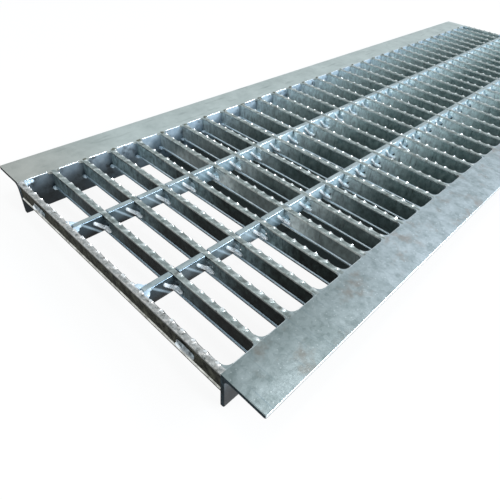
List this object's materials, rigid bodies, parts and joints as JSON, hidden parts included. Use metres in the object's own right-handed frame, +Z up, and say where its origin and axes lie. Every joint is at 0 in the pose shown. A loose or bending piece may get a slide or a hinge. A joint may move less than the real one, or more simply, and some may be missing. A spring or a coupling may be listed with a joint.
{
  "type": "channel drain grate",
  "caption": "Welded galvanised steel grate for a floor drainage channel: close I-section bars and cross bars between two side angles that seat on the channel walls.",
  "frame": {"origin": "bottom centre of the whole grate, on the plane of the two leg edges", "axes": "+X across the channel towards the right side angle, +Y along the channel, +Z up, normal to the top"},
  "size_m": [0.363, 0.995, 0.036],
  "materials": {
    "galvanised_angle": "hot-dip galvanised, dull, with mottled zinc and small pits",
    "galvanised_bar": "hot-dip galvanised, weathered grey-green with bright ribbed tops",
    "galvanised_weld": "zinc-coated weld metal, smooth and bright"
  },
  "bodies": {
    "root": {"side_angle_left": "galvanised_angle", "side_angle_right": "galvanised_angle", "end_bar_near": "galvanised_bar", "main_bar_02": "galvanised_bar", "main_bar_03": "galvanised_bar", "main_bar_04": "galvanised_bar", "main_bar_05": "galvanised_bar", "main_bar_06": "galvanised_bar", "main_bar_07": "galvanised_bar", "main_bar_08": "galvanised_bar", "main_bar_09": "galvanised_bar", "main_bar_10": "galvanised_bar", "main_bar_11": "galvanised_bar", "main_bar_12": "galvanised_bar", "main_bar_13": "galvanised_bar", "main_bar_14": "galvanised_bar", "main_bar_15": "galvanised_bar", "main_bar_16": "galvanised_bar", "main_bar_17": "galvanised_bar", "main_bar_18": "galvanised_bar", "main_bar_19": "galvanised_bar", "main_bar_20": "galvanised_bar", "main_bar_21": "galvanised_bar", "main_bar_22": "galvanised_bar", "main_bar_23": "galvanised_bar", "main_bar_24": "galvanised_bar", "main_bar_25": "galvanised_bar", "main_bar_26": "galvanised_bar", "main_bar_27": "galvanised_bar", "main_bar_28": "galvanised_bar", "main_bar_29": "galvanised_bar", "main_bar_30": "galvanised_bar", "main_bar_31": "galvanised_bar", "end_bar_far": "galvanised_bar", "cross_bar_left": "galvanised_bar", "cross_bar_right": "galvanised_bar", "corner_welds_left": "galvanised_weld", "corner_welds_right": "galvanised_weld", "foot_welds_left": "galvanised_weld", "foot_welds_right": "galvanised_weld", "crossing_beads_left": "galvanised_weld", "crossing_beads_right": "galvanised_weld", "cross_end_welds": "galvanised_weld", "end_pads": "galvanised_weld"}
  },
  "joints": []
}
